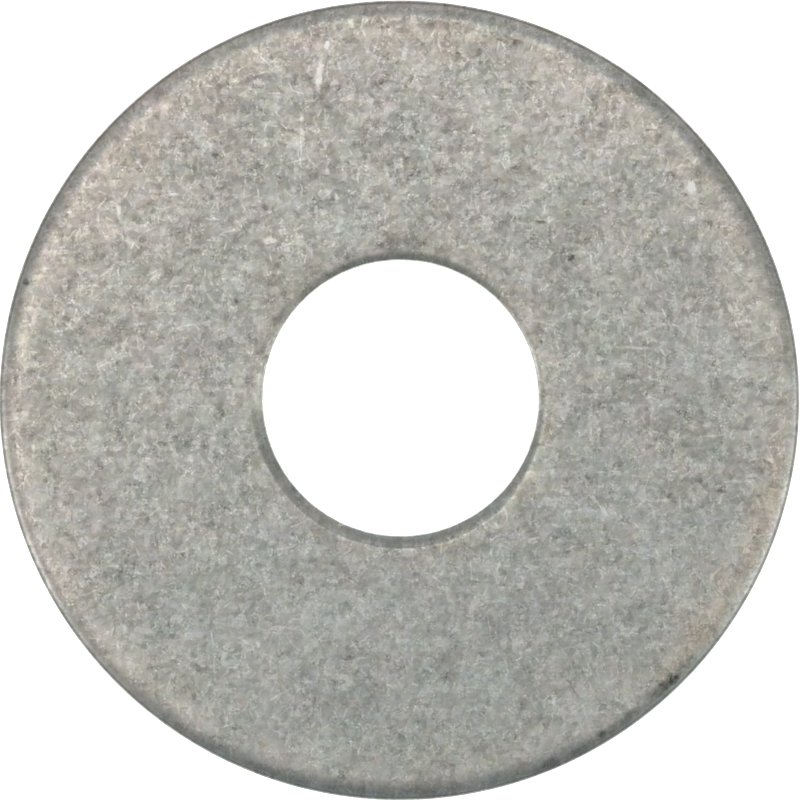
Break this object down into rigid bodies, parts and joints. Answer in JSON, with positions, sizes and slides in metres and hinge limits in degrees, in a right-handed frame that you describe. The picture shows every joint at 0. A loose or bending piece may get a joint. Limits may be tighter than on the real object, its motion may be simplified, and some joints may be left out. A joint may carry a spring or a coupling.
{
  "type": "fender washer",
  "caption": "Flat stamped steel washer, wide for its bore, that spreads a bolt head's load over thin or soft sheet.",
  "frame": {"origin": "on the bore's axis, at the lower face, which is the torn side of the stamping", "axes": "+Z along the bore's axis towards the rolled face that the picture shows, +X to the picture's right, +Y to its top"},
  "size_m": [0.0254, 0.0254, 0.0016],
  "materials": {
    "zinc_plate": "dull tumbled zinc plate on steel, with a fine random grain and a few scratches"
  },
  "bodies": {
    "root": {"washer": "zinc_plate"}
  },
  "joints": []
}
